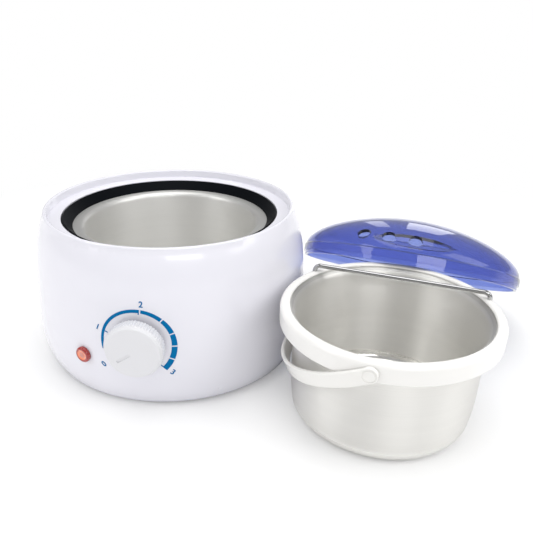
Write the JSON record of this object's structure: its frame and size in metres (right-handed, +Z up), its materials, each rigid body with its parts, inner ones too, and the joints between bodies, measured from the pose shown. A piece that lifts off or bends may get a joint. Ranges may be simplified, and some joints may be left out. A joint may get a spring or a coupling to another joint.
{
  "type": "candle wax melter",
  "caption": "Round white electric wax warmer with a control knob; its lift-out aluminium pot with a bail handle stands beside it and the translucent blue lid leans on the pot.",
  "frame": {"origin": "on the heater's vertical axis, in the plane of its feet", "axes": "+Z up; -Y towards the control knob; +X to the right as seen from the knob's side, where the pot stands"},
  "size_m": [0.333, 0.2539, 0.099],
  "materials": {
    "casing_white": "glossy white moulded plastic",
    "base_white": "glossy white moulded plastic, a shade darker",
    "seal_black": "glossy black heat-resistant plastic",
    "spun_aluminium": "satin spun aluminium",
    "pot_aluminium": "satin spun aluminium, polished inside",
    "collar_white": "glossy warm-white heat-resistant plastic",
    "lid_blue": "translucent blue polycarbonate",
    "knob_white": "glossy white moulded plastic",
    "chrome_wire": "polished wire",
    "steel_plate": "zinc-plated steel",
    "steel_screw": "zinc-plated steel",
    "band_mica": "mica-insulated heating band",
    "fuse_case": "ceramic fuse case",
    "switch_brown": "phenolic switch body",
    "lens_red": "translucent red lens",
    "lamp_glass": "neon lamp glass",
    "gland_grey": "nylon bush",
    "terminal_cream": "ceramic-filled terminal block",
    "foot_rubber": "grey rubber"
  },
  "bodies": {
    "heater": {"outer_casing": "casing_white", "base_plate": "base_white", "rubber_feet": "foot_rubber", "base_screws": "steel_screw", "heating_well": "spun_aluminium", "well_screws": "steel_screw", "seal_ring": "seal_black", "heating_band": "band_mica", "band_clamp": "steel_plate", "clamp_screw": "steel_screw", "thermal_fuse": "fuse_case", "fuse_clip": "steel_plate", "fuse_nut": "steel_screw", "thermostat_body": "switch_brown", "thermostat_bracket": "steel_plate", "thermostat_nut": "steel_screw", "indicator_lens": "lens_red", "indicator_lamp": "lamp_glass", "lamp_clip": "steel_plate", "cable_gland": "gland_grey", "terminal_block": "terminal_cream", "terminal_screws": "steel_screw"},
    "knob": {"control_shaft": "steel_plate", "control_knob": "knob_white"},
    "pot": {"wax_pot": "pot_aluminium", "pot_collar": "collar_white", "scraper_bar": "chrome_wire", "bail_pins": "steel_screw"},
    "bail": {"bail_handle": "collar_white"},
    "lid": {"lid_dome": "lid_blue"}
  },
  "joints": [
    {"name": "knob_turn", "type": "hinge", "parent": "heater", "child": "knob", "pos_m": [0, -0.095, 0.0452], "axis": [0, 1, 0], "range_deg": [0, 260]},
    {"name": "pot_lift", "type": "slide", "parent": "heater", "child": "pot", "axis": [0, 0, 1], "range_m": [0, 0.12]},
    {"name": "bail_swing", "type": "hinge", "parent": "pot", "child": "bail", "pos_m": [0.13781, -0.0676, 0.062], "axis": [0.2419, 0.9703, 0], "range_deg": [0, 28]},
    {"name": "lid_lift", "type": "slide", "parent": "pot", "child": "lid", "axis": [0, 0, 1], "range_m": [0, 0.1]}
  ]
}
